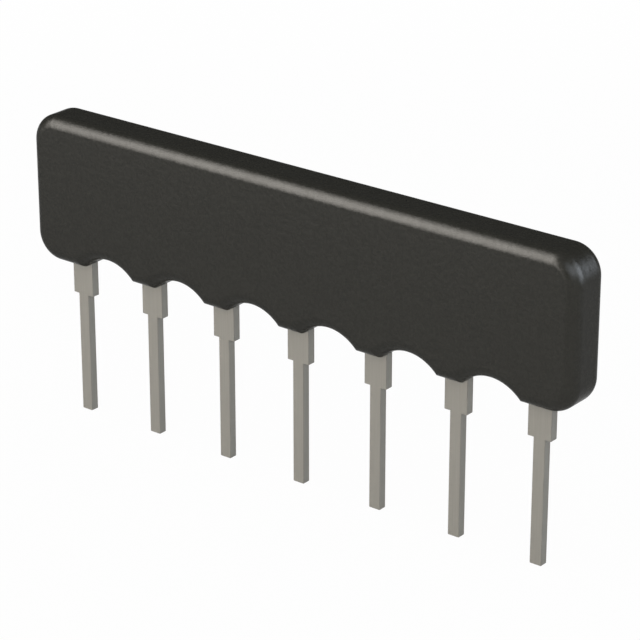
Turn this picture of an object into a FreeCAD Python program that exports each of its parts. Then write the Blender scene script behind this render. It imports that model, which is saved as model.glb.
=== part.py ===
import FreeCAD, Part
import math
import os

# Resistor network in a single-in-line case, in millimetres.
# X runs along the row of leads, Y through the case from front to back, Z up.
# The origin is the middle of the lead row on the seating plane, which is the
# underside of the lead shoulders.

Vector = FreeCAD.Vector

# Lead row
pin_count = 7
pitch = 2.54

# Lead, stamped from one strip. The shoulder runs up into the coating by its cover,
# flares to the width of the clip and parts into three fingers. The joggle is the
# height over which a finger steps sideways, and the grip is how far it then runs
# up the substrate.
strip_thickness = 0.25
tip_width = 0.35
tip_length = 3.5
shoulder_width = 0.70
shoulder_cover = 0.10
flare_height = 0.20
clip_width = 1.10
centre_finger_width = 0.40
finger_slot = 0.08
joggle_height = 0.45
grip_length = 0.95

# Ceramic substrate, seated above the fork of the fingers. Its overhang is what it
# reaches past the middle of the last lead.
substrate_thickness = 0.50
substrate_height = 3.10
substrate_overhang = 0.93
fork_gap = 0.05

# Printed layers on the front of the substrate. The bus joins pin 1 to the upper end
# of every resistor, and each resistor laps over its pad and over the bus.
conductor_thickness = 0.02
resistor_thickness = 0.02
overglaze_thickness = 0.02
pad_width = 1.30
pad_height = 1.32
pad_margin = 0.08
bus_height = 0.35
bus_margin = 0.20
riser_width = 0.60
resistor_width = 1.20
resistor_overlap = 0.20
overglaze_border = 0.06

# Laser trim cut through each resistor and its overglaze
kerf_width = 0.05
kerf_depth = 0.45
kerf_rise = 0.30

# Solder between the centre finger and its pad. It spreads to both sides and past the
# tip by its toe, and stops short of the finger's outer face by its freeboard. The
# hollow is how far its slope bows inwards, as a share of its width and height.
solder_gap = 0.02
solder_spread = 0.22
solder_toe = 0.12
solder_freeboard = 0.04
solder_hollow = 0.06

# Epoxy coating. The standoff is the height of its feet above the seating plane, and
# each cover is its thickness over the piece under it.
standoff = 1.00
face_cover = 0.115
top_cover = 0.32
end_cover = 0.34
foot_wall = 0.015
scallop_rise = 0.395
corner_radius = 0.79
edge_fillet = 0.35

# Heights that the pieces share
shoulder_top = standoff + shoulder_cover
fork_root = shoulder_top + flare_height
finger_foot = fork_root + joggle_height
substrate_bottom = finger_foot + fork_gap
substrate_top = substrate_bottom + substrate_height
finger_tip = substrate_bottom + grip_length
pad_bottom = substrate_bottom + pad_margin
pad_top = pad_bottom + pad_height
bus_top = substrate_top - bus_margin
bus_bottom = bus_top - bus_height
coating_top = substrate_top + top_cover

# Distances out from the middle plane of the substrate
ceramic_face = substrate_thickness / 2
conductor_face = ceramic_face + conductor_thickness
overglaze_face = conductor_face + resistor_thickness + overglaze_thickness
front_finger_offset = conductor_face + solder_gap + strip_thickness / 2
back_finger_offset = ceramic_face + strip_thickness / 2
coating_half_thickness = front_finger_offset + strip_thickness / 2 + face_cover

# Lengths along the row
row_length = (pin_count - 1) * pitch
substrate_half_length = row_length / 2 + substrate_overhang
coating_half_length = substrate_half_length + end_cover
foot_width = shoulder_width + 2 * foot_wall


def pin_x(pin):
    """Place of a pin along the row, counted from 1 at the left."""
    return (pin - 1) * pitch - row_length / 2


def box(x_low, x_high, y_low, y_high, z_low, z_high):
    """Block between two corners."""
    corner = Vector(x_low, y_low, z_low)
    return Part.makeBox(x_high - x_low, y_high - y_low, z_high - z_low, corner)


def polygon_face(points):
    """Flat face inside a closed run of straight edges."""
    return Part.Face(Part.makePolygon(points + points[:1]))


def segment(start, end):
    """Straight edge."""
    return Part.LineSegment(start, end).toShape()


def arc(start, middle, end):
    """Edge along the circle through three points."""
    return Part.Arc(start, middle, end).toShape()


def joined(shapes):
    """One solid from pieces that touch, with its flush faces merged."""
    whole = shapes[0].fuse(shapes[1:]).removeSplitter()
    return whole.Solids[0]


def blank_outline():
    """Flat part of a lead: tip, shoulder and the flare below its fingers."""
    right = [
        (tip_width / 2, -tip_length),
        (tip_width / 2, 0),
        (shoulder_width / 2, 0),
        (shoulder_width / 2, shoulder_top),
        (clip_width / 2, fork_root),
    ]
    left = [(-x, z) for x, z in reversed(right)]
    return polygon_face([Vector(x, -strip_thickness / 2, z) for x, z in right + left])


def finger(x_low, x_high, reach):
    """Finger that leaves the strip, steps sideways by reach and runs up the substrate.

    Each of its two bends is sharp inside, and outside it is an arc as large as the
    strip is thick. The sign of reach is the direction of the step along Y.
    """
    side = math.copysign(1, reach)
    clear_step = abs(reach) - strip_thickness
    slope = math.atan2(clear_step, joggle_height)
    slope += math.asin(strip_thickness / math.hypot(clear_step, joggle_height))
    low_corner = Vector(0, side * strip_thickness / 2, fork_root)
    high_corner = Vector(0, reach - side * strip_thickness / 2, finger_foot)

    def across(angle):
        return Vector(0, -side * math.cos(angle), math.sin(angle)) * strip_thickness

    low_bend = [low_corner + across(angle) for angle in (0, slope / 2, slope)]
    high_bend = [high_corner - across(angle) for angle in (0, slope / 2, slope)]
    inner_tip = Vector(0, high_corner.y, finger_tip)
    outer_tip = inner_tip - across(0)
    edges = [
        arc(*low_bend),
        segment(low_bend[2], high_corner),
        segment(high_corner, inner_tip),
        segment(inner_tip, outer_tip),
        segment(outer_tip, high_bend[0]),
        arc(*high_bend),
        segment(high_bend[2], low_corner),
        segment(low_corner, low_bend[0]),
    ]
    side_face = Part.Face(Part.Wire(edges))
    side_face.translate(Vector(x_low, 0, 0))
    return side_face.extrude(Vector(x_high - x_low, 0, 0))


def lead():
    """Lead at x = 0: a flat blank with one finger in front and two behind."""
    blank = blank_outline().extrude(Vector(0, strip_thickness, 0))
    centre = centre_finger_width / 2
    inner = centre + finger_slot
    outer = clip_width / 2
    fingers = [
        finger(-centre, centre, -front_finger_offset),
        finger(-outer, -inner, back_finger_offset),
        finger(inner, outer, back_finger_offset),
    ]
    return joined([blank] + fingers)


def ceramic_substrate():
    """Plate that carries the printed layers and seats in the clips of the leads."""
    return box(-substrate_half_length, substrate_half_length,
               -ceramic_face, ceramic_face, substrate_bottom, substrate_top)


def conductor(x_low, x_high, z_low, z_high):
    """Patch of printed conductor on the front of the substrate."""
    return box(x_low, x_high, -conductor_face, -ceramic_face, z_low, z_high)


def terminal_pad(pin):
    """Pad that one lead is soldered to."""
    x = pin_x(pin)
    return conductor(x - pad_width / 2, x + pad_width / 2, pad_bottom, pad_top)


def common_conductor():
    """Pad of pin 1, its riser, and the bus that runs over every resistor."""
    x = pin_x(1)
    riser = conductor(x - riser_width / 2, x + riser_width / 2, pad_top, bus_bottom)
    bus_end = pin_x(pin_count) + resistor_width / 2
    bus = conductor(x - riser_width / 2, bus_end, bus_bottom, bus_top)
    return joined([terminal_pad(1), riser, bus])


def trim_kerf(pin):
    """Slot of a laser trim: in from the right edge, then up along the current."""
    x_edge = pin_x(pin) + resistor_width / 2
    x_turn = x_edge - kerf_depth
    z_cut = (pad_top + bus_bottom) / 2
    level = box(x_turn, x_edge, -overglaze_face, -ceramic_face,
                z_cut - kerf_width / 2, z_cut + kerf_width / 2)
    upright = box(x_turn, x_turn + kerf_width, -overglaze_face, -ceramic_face,
                  z_cut - kerf_width / 2, z_cut + kerf_rise)
    return joined([level, upright])


def resistor_film(pin):
    """Printed resistor that steps up on to its pad and on to the bus."""
    pad_lap = pad_top - resistor_overlap
    bus_lap = bus_bottom + resistor_overlap
    film_face = ceramic_face + resistor_thickness
    lap_face = conductor_face + resistor_thickness
    section = [
        (pad_lap, conductor_face),
        (pad_top, conductor_face),
        (pad_top, ceramic_face),
        (bus_bottom, ceramic_face),
        (bus_bottom, conductor_face),
        (bus_lap, conductor_face),
        (bus_lap, lap_face),
        (bus_bottom - resistor_thickness, lap_face),
        (bus_bottom - resistor_thickness, film_face),
        (pad_top + resistor_thickness, film_face),
        (pad_top + resistor_thickness, lap_face),
        (pad_lap, lap_face),
    ]
    x_low = pin_x(pin) - resistor_width / 2
    profile = polygon_face([Vector(x_low, -out, z) for z, out in section])
    film = profile.extrude(Vector(resistor_width, 0, 0))
    return film.cut(trim_kerf(pin)).Solids[0]


def glass_overglaze(films):
    """Glass printed over the films and the bus, cut through by the laser trims."""
    x_reach = row_length / 2 + pad_width / 2 + overglaze_border
    band = box(-x_reach, x_reach, -overglaze_face, -ceramic_face,
               pad_top - resistor_overlap - overglaze_border, bus_top + overglaze_border)
    kerfs = [trim_kerf(pin) for pin in range(2, pin_count + 1)]
    return band.cut(films + kerfs).Solids[0]


def mound_profile(half_base, half_top, height):
    """Hollow-sided heap in the XY plane, with its base on y = 0, rising along -Y."""
    reach = half_base - half_top
    middle_x = half_top + reach * (0.5 - solder_hollow)
    middle_y = -height * (0.5 - solder_hollow)
    foot_right = Vector(half_base, 0, 0)
    foot_left = Vector(-half_base, 0, 0)
    top_right = Vector(half_top, -height, 0)
    top_left = Vector(-half_top, -height, 0)
    edges = [
        segment(foot_left, foot_right),
        arc(foot_right, Vector(middle_x, middle_y, 0), top_right),
        segment(top_right, top_left),
        arc(top_left, Vector(-middle_x, middle_y, 0), foot_left),
    ]
    return Part.Face(Part.Wire(edges))


def solder_joint(lead_shape):
    """Solder at x = 0 that wets the pad and the sides and end of the finger."""
    z_low = pad_bottom
    z_high = finger_tip + solder_toe
    z_middle = (z_low + z_high) / 2
    half_height = (z_high - z_low) / 2
    half_finger = centre_finger_width / 2
    height = solder_gap + strip_thickness - solder_freeboard
    across = mound_profile(half_finger + solder_spread, half_finger, height)
    across.translate(Vector(0, -conductor_face, z_low))
    along = mound_profile(half_height, half_height - solder_toe, height)
    along.rotate(Vector(0, 0, 0), Vector(0, 1, 0), 90)
    along.translate(Vector(-half_finger - solder_spread, -conductor_face, z_middle))
    heap = across.extrude(Vector(0, 0, z_high - z_low))
    ends = along.extrude(Vector(2 * (half_finger + solder_spread), 0, 0))
    return heap.common(ends).cut(lead_shape).Solids[0]


def coating_outline():
    """Front outline of the coating, with an arch between each two leads."""
    left = -coating_half_length
    right = coating_half_length
    bottom = standoff
    top = coating_top
    bevel = corner_radius * (1 - math.sqrt(0.5))
    half_arch = (pitch - foot_width) / 2

    def at(x, z):
        return Vector(x, -coating_half_thickness, z)

    edges = []
    x_now = left + corner_radius
    for pin in range(1, pin_count):
        middle = pin_x(pin) + pitch / 2
        edges.append(segment(at(x_now, bottom), at(middle - half_arch, bottom)))
        x_now = middle + half_arch
        edges.append(arc(at(middle - half_arch, bottom), at(middle, bottom + scallop_rise),
                         at(x_now, bottom)))
    edges.append(segment(at(x_now, bottom), at(right - corner_radius, bottom)))
    edges.append(arc(at(right - corner_radius, bottom), at(right - bevel, bottom + bevel),
                     at(right, bottom + corner_radius)))
    edges.append(segment(at(right, bottom + corner_radius), at(right, top - corner_radius)))
    edges.append(arc(at(right, top - corner_radius), at(right - bevel, top - bevel),
                     at(right - corner_radius, top)))
    edges.append(segment(at(right - corner_radius, top), at(left + corner_radius, top)))
    edges.append(arc(at(left + corner_radius, top), at(left + bevel, top - bevel),
                     at(left, top - corner_radius)))
    edges.append(segment(at(left, top - corner_radius), at(left, bottom + corner_radius)))
    edges.append(arc(at(left, bottom + corner_radius), at(left + bevel, bottom + bevel),
                     at(left + corner_radius, bottom)))
    return Part.Face(Part.Wire(edges))


def coating_form():
    """Outer form of the coating, rounded along its whole front and back outline."""
    thickness = 2 * coating_half_thickness
    block = coating_outline().extrude(Vector(0, thickness, 0))
    rim = [edge for edge in block.Edges if edge.BoundBox.YLength < thickness / 2]
    return block.makeFillet(edge_fillet, rim).Solids[0]


def build():
    """Every piece by its name."""
    pins = range(1, pin_count + 1)
    lead_shape = lead()
    joint_shape = solder_joint(lead_shape)
    pieces = {"ceramic_substrate": ceramic_substrate()}
    pieces["common_conductor"] = common_conductor()
    for pin in pins[1:]:
        pieces[f"terminal_pad_{pin}"] = terminal_pad(pin)
    for pin in pins[1:]:
        pieces[f"resistor_film_{pin}"] = resistor_film(pin)
    films = [shape for name, shape in pieces.items() if name != "ceramic_substrate"]
    pieces["glass_overglaze"] = glass_overglaze(films)
    for pin in pins:
        pieces[f"solder_joint_{pin}"] = joint_shape.translated(Vector(pin_x(pin), 0, 0))
        pieces[f"lead_{pin}"] = lead_shape.translated(Vector(pin_x(pin), 0, 0))
    pieces["epoxy_coating"] = coating_form().cut(list(pieces.values())).Solids[0]
    return pieces


os.makedirs("parts", exist_ok=True)
for name, shape in build().items():
    shape.exportStep(f"parts/{name}.step")
    print(f"{name}: valid {shape.isValid()}, volume {shape.Volume:.4f} mm3")
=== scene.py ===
"""Looks of a single-in-line resistor network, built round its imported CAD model."""

import math

import bpy
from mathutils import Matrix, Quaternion, Vector


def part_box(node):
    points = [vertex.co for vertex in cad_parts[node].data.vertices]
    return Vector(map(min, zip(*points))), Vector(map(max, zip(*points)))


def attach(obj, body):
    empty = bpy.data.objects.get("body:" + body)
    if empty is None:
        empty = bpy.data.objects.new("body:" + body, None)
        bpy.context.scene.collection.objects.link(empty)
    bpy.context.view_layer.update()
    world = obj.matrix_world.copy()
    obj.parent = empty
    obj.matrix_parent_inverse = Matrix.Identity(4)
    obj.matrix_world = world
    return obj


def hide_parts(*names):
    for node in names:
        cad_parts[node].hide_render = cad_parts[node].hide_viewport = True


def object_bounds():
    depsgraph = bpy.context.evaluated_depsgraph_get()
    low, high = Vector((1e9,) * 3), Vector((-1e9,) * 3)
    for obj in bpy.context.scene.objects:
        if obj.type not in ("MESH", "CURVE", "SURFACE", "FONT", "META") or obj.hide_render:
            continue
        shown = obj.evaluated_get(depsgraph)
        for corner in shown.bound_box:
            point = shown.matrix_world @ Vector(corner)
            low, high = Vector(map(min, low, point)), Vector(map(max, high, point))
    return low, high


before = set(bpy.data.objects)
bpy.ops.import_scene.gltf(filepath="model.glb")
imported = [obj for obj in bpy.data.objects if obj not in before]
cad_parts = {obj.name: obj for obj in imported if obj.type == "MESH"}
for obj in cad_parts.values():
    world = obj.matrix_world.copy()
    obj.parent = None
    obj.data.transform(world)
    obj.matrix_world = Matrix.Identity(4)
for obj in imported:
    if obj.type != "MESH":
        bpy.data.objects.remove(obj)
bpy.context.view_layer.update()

MM = 0.001

# Camera of the photograph. The picture is square, and the focal length is in its pixels.
# What the camera can see lies between its distance divided and multiplied by the clip ratio.
PICTURE_PX = 640
FOCAL_PX = 2809.8
SENSOR_WIDTH = 36.0
CAMERA_AZIMUTH = 38.154
CAMERA_ELEVATION = 22.779
CAMERA_DISTANCE = 72.98 * MM
CAMERA_TARGET = Vector((0.6332, 0, 1.3283)) * MM
CLIP_RATIO = 100

# Forms of the coating that its box doesn't give
EDGE_FILLET = 0.35 * MM
CORNER_RADIUS = 0.79 * MM
FOOT_WIDTH = 0.73 * MM
SCALLOP_RISE = 0.395 * MM

# Steps along each kind of run in the coating's outline, and round its rim
LINE_STEPS = 6
CORNER_STEPS = 24
SCALLOP_STEPS = 40
RIM_STEPS = 16

# Roll-over that stamping leaves on the edges of the leads: its width, its steps, and the
# smallest angle between two faces that makes an edge. Points nearer than the weld are joined.
LEAD_EDGE = 0.018 * MM
LEAD_EDGE_STEPS = 2
LEAD_EDGE_ANGLE = math.radians(30)
WELD = 0.0001 * MM

# Usual range of a noise texture
NOISE_LOW = 0.3
NOISE_HIGH = 0.7

# Sockets of the mix node for colours, by number because several share a name
MIX_SHARE = 0
MIX_FIRST = 6
MIX_SECOND = 7
MIX_RESULT = 2

WHITE = (1, 1, 1, 1)

# Softboxes: direction from the part, width and height as angles seen from it, how far the
# top leans to the left, all in degrees, then colour and radiance. The matt ones light the
# part, and the others are there for its gloss alone.
SOFTBOX_DISTANCE = 300 * MM
SOFTBOXES = {
    "key": {"azimuth": -39, "elevation": 24, "width": 48, "height": 86, "lean": 20,
            "matt": False, "colour": (1.0, 0.95, 0.89), "radiance": 20.6},
    "fill": {"azimuth": 117, "elevation": 21, "width": 62, "height": 66, "lean": 22,
             "matt": False, "colour": (0.83, 0.90, 1.0), "radiance": 14.8},
    "side": {"azimuth": 56, "elevation": 32, "width": 84, "height": 56, "lean": 19,
             "matt": False, "colour": (0.83, 0.90, 1.0), "radiance": 6.2},
    "front": {"azimuth": 33, "elevation": 32, "width": 50, "height": 50, "lean": 0,
              "matt": True, "colour": (1.0, 0.92, 0.77), "radiance": 4.05},
    "top": {"azimuth": 0, "elevation": 80, "width": 50, "height": 50, "lean": 0,
            "matt": True, "colour": (1.0, 1.0, 0.98), "radiance": 2.3},
}

# A softbox is brightest in its middle, so each is a stack of lamps at these shares of its
# size, each lamp a gap behind the one before
STACK = (0.40, 0.55, 0.77, 1.0)
STACK_GAP = 4 * MM

# Even light of the room and its colour, how bright the room looks in gloss, and the heights
# of a ray's direction between which the white background gives way to it there
ROOM_LIGHT = 0.36
ROOM_COLOUR = (0.97, 1.02, 1.14, 1)
ROOM_IN_GLOSS = 0.06
WHITE_BELOW = -0.10
ROOM_ABOVE = 0.02

# Floor: a disc with a matt colour that takes the shadow. Its share of plain white is the
# smaller one out to the shadow's radius, and rises to the whole at its rim.
FLOOR_RADIUS = 56 * MM
FLOOR_SIDES = 96
FLOOR_COLOUR = (0.85, 0.85, 0.85, 1)
FLOOR_WHITE_SHARE = 0.97
SHADOW_RADIUS = 30 * MM


def turned(azimuth, elevation):
    """Unit vector from the part. Azimuth 0 is in front of it, and 90 is to its right."""
    around = math.radians(azimuth)
    above = math.radians(elevation)
    level = math.cos(above)
    return Vector((math.sin(around) * level, -math.cos(around) * level, math.sin(above)))


def add_node(tree, kind, inputs=None, **settings):
    """New shader node. Each of its inputs takes a number, a colour or another's output."""
    made = tree.nodes.new(kind)
    for name, value in settings.items():
        setattr(made, name, value)
    for name, value in (inputs or {}).items():
        if isinstance(value, bpy.types.NodeSocket):
            tree.links.new(value, made.inputs[name])
        else:
            made.inputs[name].default_value = value
    return made


def place(tree, stretch=(1, 1, 1)):
    """Place on the surface in metres, with each axis multiplied by its stretch."""
    where = add_node(tree, "ShaderNodeTexCoord").outputs["Object"]
    inputs = {"Vector": where, "Scale": stretch}
    return add_node(tree, "ShaderNodeMapping", inputs).outputs["Vector"]


def noise(tree, where, grain, detail=2.0, roughness=0.5):
    """Noise from 0 to 1, with grains of that size in metres."""
    inputs = {"Vector": where, "Scale": 1 / grain, "Detail": detail, "Roughness": roughness}
    return add_node(tree, "ShaderNodeTexNoise", inputs).outputs["Fac"]


def between(tree, amount, low, high):
    """Number from low to high as the noise goes through its usual range."""
    inputs = {"Value": amount, "From Min": NOISE_LOW, "From Max": NOISE_HIGH,
              "To Min": low, "To Max": high}
    return add_node(tree, "ShaderNodeMapRange", inputs).outputs["Result"]


def two_colours(tree, amount, first, second):
    """Colour from first to second as the noise goes through its usual range."""
    ramp = add_node(tree, "ShaderNodeValToRGB", {"Fac": amount})
    ramp.color_ramp.elements[0].position = NOISE_LOW
    ramp.color_ramp.elements[1].position = NOISE_HIGH
    ramp.color_ramp.elements[0].color = (*first, 1)
    ramp.color_ramp.elements[1].color = (*second, 1)
    return ramp.outputs["Color"]


def mixed_colour(tree, share, first, second):
    """Colour that is the first at share 0 and the second at share 1."""
    inputs = {MIX_SHARE: share, MIX_FIRST: first, MIX_SECOND: second}
    return add_node(tree, "ShaderNodeMix", inputs, data_type="RGBA").outputs[MIX_RESULT]


def bumped(tree, height, relief, before=None):
    """Surface normal over a height from 0 to 1 that stands relief metres tall."""
    inputs = {"Height": height, "Distance": relief, "Strength": 1.0}
    if before:
        inputs["Normal"] = before
    return add_node(tree, "ShaderNodeBump", inputs).outputs["Normal"]


def new_material(name):
    """Material with a node tree that holds only its output."""
    material = bpy.data.materials.new(name)
    material.use_nodes = True
    tree = material.node_tree
    tree.nodes.clear()
    return material, tree


def finish_material(tree, **inputs):
    """Principled surface with these inputs, an underscore standing for a space."""
    named = {name.replace("_", " "): value for name, value in inputs.items()}
    surface = add_node(tree, "ShaderNodeBsdfPrincipled", named)
    add_node(tree, "ShaderNodeOutputMaterial", {"Surface": surface.outputs["BSDF"]})


def epoxy_material():
    """Black epoxy with a warm cast, satin, with the fine grain of its filler.

    The filler keeps its rims dark: it mirrors little more at a low angle than head-on.
    A low index gives that, and the tint brings the head-on mirroring back.
    """
    material, tree = new_material("epoxy")
    where = place(tree)
    grain = noise(tree, where, grain=0.13 * MM, detail=1)
    cloud = noise(tree, where, grain=0.35 * MM)
    finish_material(
        tree,
        Base_Color=two_colours(tree, cloud, (0.0272, 0.0268, 0.0226), (0.0302, 0.0298, 0.0252)),
        Roughness=between(tree, grain, 0.25, 0.30),
        IOR=1.085,
        Specular_Tint=(7.55, 7.55, 7.6, 1),
        Normal=bumped(tree, grain, 0.006 * MM),
    )
    return material


def tin_material():
    """Matt tin plate with faint lines along the lead, darker on its sideways faces, the sheared
    edges of the strip: partly a duller sheared finish, partly painted shade for the weaker light
    there.
    """
    material, tree = new_material("tin_plate")
    lines = noise(tree, place(tree, stretch=(1, 1, 0.03)), grain=0.04 * MM, detail=3)
    crystals = noise(tree, place(tree), grain=0.02 * MM)
    # Faces that point sideways get a darker colour: painted shade for the weaker light on them,
    # together with the duller finish of a sheared edge.
    facing = add_node(tree, "ShaderNodeTexCoord").outputs["Normal"]
    across = add_node(tree, "ShaderNodeSeparateXYZ", {"Vector": facing}).outputs["X"]
    sheared_side_shade_mask = add_node(tree, "ShaderNodeMath", {0: across}, operation="ABSOLUTE").outputs[0]
    rolled = two_colours(tree, lines, (0.268, 0.258, 0.232), (0.289, 0.279, 0.251))
    sheared_sides_with_shade = two_colours(tree, lines, (0.211, 0.205, 0.184), (0.231, 0.225, 0.202))
    finish_material(
        tree,
        Base_Color=mixed_colour(tree, sheared_side_shade_mask, rolled, sheared_sides_with_shade),
        Metallic=0.25,
        Roughness=between(tree, crystals, 0.36, 0.44),
        Specular_IOR_Level=0.12,
        Normal=bumped(tree, crystals, 0.0006 * MM, bumped(tree, lines, 0.0006 * MM)),
    )
    return material


def ceramic_material():
    """Fired alumina, white, with a trace of its grain."""
    material, tree = new_material("alumina")
    grain = noise(tree, place(tree), grain=0.02 * MM, detail=4)
    cloud = noise(tree, place(tree), grain=0.6 * MM)
    finish_material(
        tree,
        Base_Color=two_colours(tree, cloud, (0.74, 0.73, 0.69), (0.80, 0.79, 0.76)),
        Roughness=between(tree, grain, 0.50, 0.62),
        Normal=bumped(tree, grain, 0.001 * MM),
    )
    return material


def conductor_material():
    """Fired silver palladium print, dull and sintered."""
    material, tree = new_material("fired_conductor")
    grain = noise(tree, place(tree), grain=0.015 * MM, detail=4)
    finish_material(
        tree,
        Base_Color=two_colours(tree, grain, (0.24, 0.235, 0.225), (0.30, 0.294, 0.282)),
        Metallic=0.3,
        Roughness=between(tree, grain, 0.50, 0.65),
        Specular_IOR_Level=0.12,
        Normal=bumped(tree, grain, 0.0010 * MM),
    )
    return material


def resistor_material():
    """Fired ruthenium oxide print, nearly black, with a glassy grain."""
    material, tree = new_material("resistor_print")
    grain = noise(tree, place(tree), grain=0.018 * MM, detail=4)
    finish_material(
        tree,
        Base_Color=two_colours(tree, grain, (0.020, 0.019, 0.018), (0.035, 0.033, 0.030)),
        Roughness=between(tree, grain, 0.25, 0.42),
        Normal=bumped(tree, grain, 0.001 * MM),
    )
    return material


def overglaze_material():
    """Green glass print, glossy, with a slight orange peel."""
    material, tree = new_material("glass_overglaze")
    peel = noise(tree, place(tree), grain=0.12 * MM)
    finish_material(
        tree,
        Base_Color=two_colours(tree, peel, (0.040, 0.145, 0.100), (0.050, 0.175, 0.120)),
        Roughness=between(tree, peel, 0.12, 0.20),
        Normal=bumped(tree, peel, 0.002 * MM),
    )
    return material


def solder_material():
    """Tin solder, brighter than the plate, with soft ripples from its cooling."""
    material, tree = new_material("solder_alloy")
    ripple = noise(tree, place(tree), grain=0.16 * MM)
    finish_material(
        tree,
        Base_Color=two_colours(tree, ripple, (0.34, 0.335, 0.32), (0.40, 0.395, 0.38)),
        Metallic=0.8,
        Roughness=between(tree, ripple, 0.30, 0.38),
        Normal=bumped(tree, ripple, 0.003 * MM),
    )
    return material


def line_run(start, end, normal):
    """Straight run of the outline as pairs of point and outward normal."""
    shares = [step / LINE_STEPS for step in range(LINE_STEPS + 1)]
    return [(start.lerp(end, share), normal) for share in shares]


def arc_run(centre, radius, first, last, steps, side=1):
    """Round run of the outline. Its normals point away from the centre, or at it for side -1."""
    run = []
    for step in range(steps + 1):
        angle = first + (last - first) * step / steps
        direction = Vector((math.cos(angle), math.sin(angle)))
        run.append((centre + radius * direction, side * direction))
    return run


def coating_runs(inset):
    """Front outline of the coating moved in by inset, anticlockwise from its bottom left.

    The points are x and z. Neighbouring runs share a point, and each has its own
    normal there, because the feet meet the scallops at a crease.
    """
    low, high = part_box("epoxy_coating")
    quarter = math.pi / 2
    pins = [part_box(name) for name in sorted(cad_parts) if name.startswith("lead_")]
    middles = [(pin_low.x + pin_high.x) / 2 for pin_low, pin_high in pins]
    half_chord = (middles[1] - middles[0] - FOOT_WIDTH) / 2
    scallop_radius = (half_chord ** 2 + SCALLOP_RISE ** 2) / (2 * SCALLOP_RISE)
    scallop_height = low.z + SCALLOP_RISE - scallop_radius

    radius = scallop_radius + inset
    lean = math.asin((low.z + inset - scallop_height) / radius)
    runs = []
    corner = Vector((low.x + CORNER_RADIUS, low.z + inset))
    for before, after in zip(middles, middles[1:]):
        centre = Vector(((before + after) / 2, scallop_height))
        scallop = arc_run(centre, radius, math.pi - lean, lean, SCALLOP_STEPS, side=-1)
        runs.append(line_run(corner, scallop[0][0], Vector((0, -1))))
        runs.append(scallop)
        corner = scallop[-1][0]
    runs.append(line_run(corner, Vector((high.x - CORNER_RADIUS, low.z + inset)), Vector((0, -1))))

    left, right = low.x + CORNER_RADIUS, high.x - CORNER_RADIUS
    bottom, top = low.z + CORNER_RADIUS, high.z - CORNER_RADIUS
    corners = [(right, bottom), (right, top), (left, top), (left, bottom)]
    for turn, place_of_corner in enumerate(corners):
        first = (turn - 1) * quarter
        arc = arc_run(Vector(place_of_corner), CORNER_RADIUS - inset, first, first + quarter,
                      CORNER_STEPS)
        if turn:
            runs.append(line_run(runs[-1][-1][0], arc[0][0], arc[0][1]))
        runs.append(arc)
    return runs


def coating_rings():
    """Rings from the rim of the front face to the rim of the back face.

    Each is its inset, its y, and how far its normals lean outwards and along y.
    """
    low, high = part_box("epoxy_coating")
    angles = [math.pi / 2 * step / RIM_STEPS for step in range(RIM_STEPS + 1)]
    rim = [(EDGE_FILLET * (1 - math.sin(a)), EDGE_FILLET * (1 - math.cos(a)), a) for a in angles]
    front = [(inset, low.y + depth, math.sin(a), -math.cos(a)) for inset, depth, a in rim]
    back = [(inset, high.y - depth, math.sin(a), math.cos(a)) for inset, depth, a in rim]
    return front + back[::-1]


def coating(epoxy):
    """Outer skin of the coating as one closed mesh, with its exact normals."""
    vertices, faces, normals = [], [], []
    rings = [(coating_runs(inset), *rest) for inset, *rest in coating_rings()]
    for runs, y, _, _ in rings:
        for run in runs:
            vertices += [(point.x, y, point.y) for point, _ in run[:-1]]
    around = len(vertices) // len(rings)

    def tilted(ring, outward):
        _, _, lean, along = ring
        return (outward.x * lean, along, outward.y * lean)

    for row, (ring, next_ring) in enumerate(zip(rings, rings[1:])):
        column = 0
        for run, next_run in zip(ring[0], next_ring[0]):
            for step in range(len(run) - 1):
                here = row * around + column
                beside = row * around + (column + 1) % around
                faces.append((here, here + around, beside + around, beside))
                normals.append(tilted(ring, run[step][1]))
                normals.append(tilted(next_ring, next_run[step][1]))
                normals.append(tilted(next_ring, next_run[step + 1][1]))
                normals.append(tilted(ring, run[step + 1][1]))
                column += 1
    faces.append(tuple(range(around)))
    normals += [(0, -1, 0)] * around
    faces.append(tuple(reversed(range(len(vertices) - around, len(vertices)))))
    normals += [(0, 1, 0)] * around

    mesh = bpy.data.meshes.new("coating_skin")
    mesh.from_pydata(vertices, [], faces, shade_flat=False)
    mesh.normals_split_custom_set(normals)
    skin = bpy.data.objects.new("coating_skin", mesh)
    bpy.context.scene.collection.objects.link(skin)
    skin.data.materials.append(epoxy)
    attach(skin, "root")
    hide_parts("epoxy_coating")


def dress_leads():
    """Roll the edges of the stamped leads over a little."""
    for name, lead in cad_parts.items():
        if not name.startswith("lead_"):
            continue
        weld = lead.modifiers.new("weld", "WELD")
        weld.merge_threshold = WELD
        bevel = lead.modifiers.new("rolled_edges", "BEVEL")
        bevel.width = LEAD_EDGE
        bevel.segments = LEAD_EDGE_STEPS
        bevel.limit_method = "ANGLE"
        bevel.angle_limit = LEAD_EDGE_ANGLE
        bevel.harden_normals = True


def materials_by_kind():
    """Material of each kind of piece, a kind being a node's name without its number."""
    conductor = conductor_material()
    return {
        "epoxy_coating": epoxy_material(),
        "ceramic_substrate": ceramic_material(),
        "lead": tin_material(),
        "solder_joint": solder_material(),
        "common_conductor": conductor,
        "terminal_pad": conductor,
        "resistor_film": resistor_material(),
        "glass_overglaze": overglaze_material(),
    }


def paint_nodes(materials):
    """Give each CAD node the material of its kind."""
    for name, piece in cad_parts.items():
        kind = name.rstrip("0123456789").rstrip("_")
        for slot in piece.material_slots:
            slot.material = materials[kind]


def larger(tree, first, second):
    """The larger of two outputs."""
    made = add_node(tree, "ShaderNodeMath", operation="MAXIMUM")
    tree.links.new(first, made.inputs[0])
    tree.links.new(second, made.inputs[1])
    return made.outputs[0]


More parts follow.
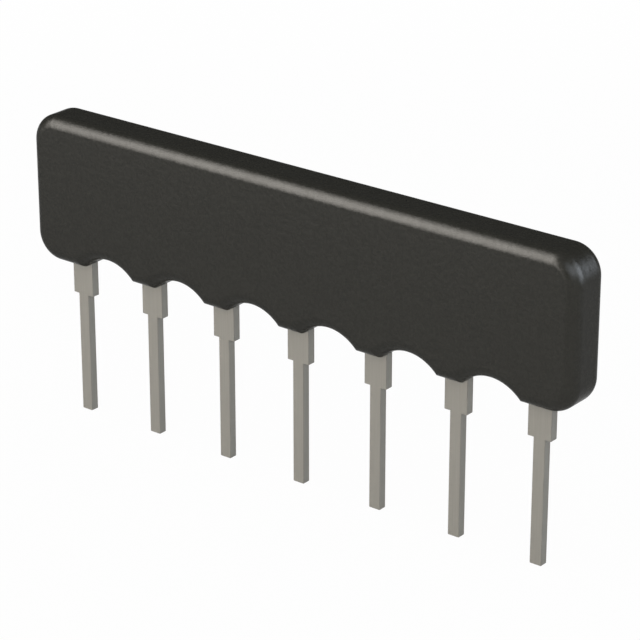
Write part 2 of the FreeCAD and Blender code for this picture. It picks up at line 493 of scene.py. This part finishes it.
def stage_set():
    """Pale floor under the tips of the leads. It looks white, and keeps a soft shadow."""
    low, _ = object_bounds()
    bpy.ops.mesh.primitive_circle_add(vertices=FLOOR_SIDES, radius=FLOOR_RADIUS,
                                      fill_type="NGON", location=(0, 0, low.z))
    floor = bpy.context.object
    floor.name = "floor"
    material, tree = new_material("floor")
    path = add_node(tree, "ShaderNodeLightPath").outputs
    in_gloss = larger(tree, path["Is Glossy Ray"], path["Is Transmission Ray"])
    seen = larger(tree, path["Is Camera Ray"], in_gloss)
    where = add_node(tree, "ShaderNodeTexCoord").outputs["Object"]
    away = add_node(tree, "ShaderNodeVectorMath", {"Vector": where}, operation="LENGTH")
    whitest = add_node(tree, "ShaderNodeMapRange", {
        "Value": away.outputs["Value"], "From Min": SHADOW_RADIUS, "From Max": FLOOR_RADIUS,
        "To Min": FLOOR_WHITE_SHARE, "To Max": 1.0})
    share = add_node(tree, "ShaderNodeMapRange", {
        "Value": seen, "To Max": whitest.outputs["Result"]})
    matt = add_node(tree, "ShaderNodeBsdfDiffuse", {"Color": FLOOR_COLOUR})
    white = add_node(tree, "ShaderNodeEmission", {"Color": WHITE, "Strength": 1.0})
    mixed = add_node(tree, "ShaderNodeMixShader", {"Fac": share.outputs["Result"]})
    tree.links.new(matt.outputs[0], mixed.inputs[1])
    tree.links.new(white.outputs[0], mixed.inputs[2])
    add_node(tree, "ShaderNodeOutputMaterial", {"Surface": mixed.outputs[0]})
    material.cycles.emission_sampling = "NONE"
    floor.data.materials.append(material)


def world_light():
    """Even light from the room. Camera, gloss and glass see white behind the part.

    In gloss the white gives way to the room round the horizon, as it does round a light
    table, so the top of the part stays dark.
    """
    world = bpy.data.worlds.new("studio")
    bpy.context.scene.world = world
    world.use_nodes = True
    world.cycles.sampling_method = "NONE"
    tree = world.node_tree
    tree.nodes.clear()
    path = add_node(tree, "ShaderNodeLightPath").outputs
    direction = add_node(tree, "ShaderNodeTexCoord").outputs["Generated"]
    height = add_node(tree, "ShaderNodeSeparateXYZ", {"Vector": direction}).outputs["Z"]
    in_gloss = add_node(tree, "ShaderNodeMapRange", {
        "Value": height, "From Min": WHITE_BELOW, "From Max": ROOM_ABOVE,
        "To Min": 1.0, "To Max": ROOM_IN_GLOSS})
    strength = add_node(tree, "ShaderNodeMix", {
        "Factor": path["Is Glossy Ray"], "A": ROOM_LIGHT, "B": in_gloss.outputs["Result"]})
    behind = larger(tree, path["Is Camera Ray"], path["Is Transmission Ray"])
    shown = add_node(tree, "ShaderNodeMix", {
        "Factor": behind, "A": strength.outputs["Result"], "B": 1.0})
    seen = larger(tree, path["Is Glossy Ray"], behind)
    colour = mixed_colour(tree, seen, ROOM_COLOUR, WHITE)
    light = add_node(tree, "ShaderNodeBackground", {
        "Color": colour, "Strength": shown.outputs["Result"]})
    add_node(tree, "ShaderNodeOutputWorld", {"Surface": light.outputs[0]})


def softbox(name, azimuth, elevation, width, height, lean, matt, colour, radiance):
    """Oval area lights that face the part, seen by its matt surface or by its gloss alone."""
    direction = turned(azimuth, elevation)
    facing = direction.to_track_quat("Z", "Y") @ Quaternion((0, 0, 1), math.radians(lean))
    for number, share in enumerate(STACK):
        distance = SOFTBOX_DISTANCE + number * STACK_GAP
        data = bpy.data.lights.new(f"{name}_{number}", "AREA")
        data.shape = "ELLIPSE"
        data.size = 2 * distance * math.tan(math.radians(width * share) / 2)
        data.size_y = 2 * distance * math.tan(math.radians(height * share) / 2)
        area = math.pi / 4 * data.size * data.size_y
        # The power of a matt emitter is its radiance times pi times its area
        data.energy = radiance / len(STACK) * math.pi * area
        data.color = colour
        lamp = bpy.data.objects.new(data.name, data)
        bpy.context.scene.collection.objects.link(lamp)
        lamp.location = CAMERA_TARGET + distance * direction
        lamp.rotation_euler = facing.to_euler()
        lamp.visible_diffuse = matt
        lamp.visible_glossy = not matt


def camera():
    """Camera where the photograph was taken from."""
    data = bpy.data.cameras.new("camera")
    data.sensor_width = SENSOR_WIDTH
    data.lens = FOCAL_PX * SENSOR_WIDTH / PICTURE_PX
    data.clip_start = CAMERA_DISTANCE / CLIP_RATIO
    data.clip_end = CAMERA_DISTANCE * CLIP_RATIO
    eye = bpy.data.objects.new("camera", data)
    bpy.context.scene.collection.objects.link(eye)
    back = turned(CAMERA_AZIMUTH, CAMERA_ELEVATION)
    eye.location = CAMERA_TARGET + CAMERA_DISTANCE * back
    eye.rotation_euler = (-back).to_track_quat("-Z", "Y").to_euler()
    bpy.context.scene.camera = eye


materials = materials_by_kind()
paint_nodes(materials)
coating(materials["epoxy_coating"])
dress_leads()
stage_set()
world_light()
for name, values in SOFTBOXES.items():
    softbox(name, **values)
camera()
bpy.context.scene.view_settings.view_transform = "Standard"
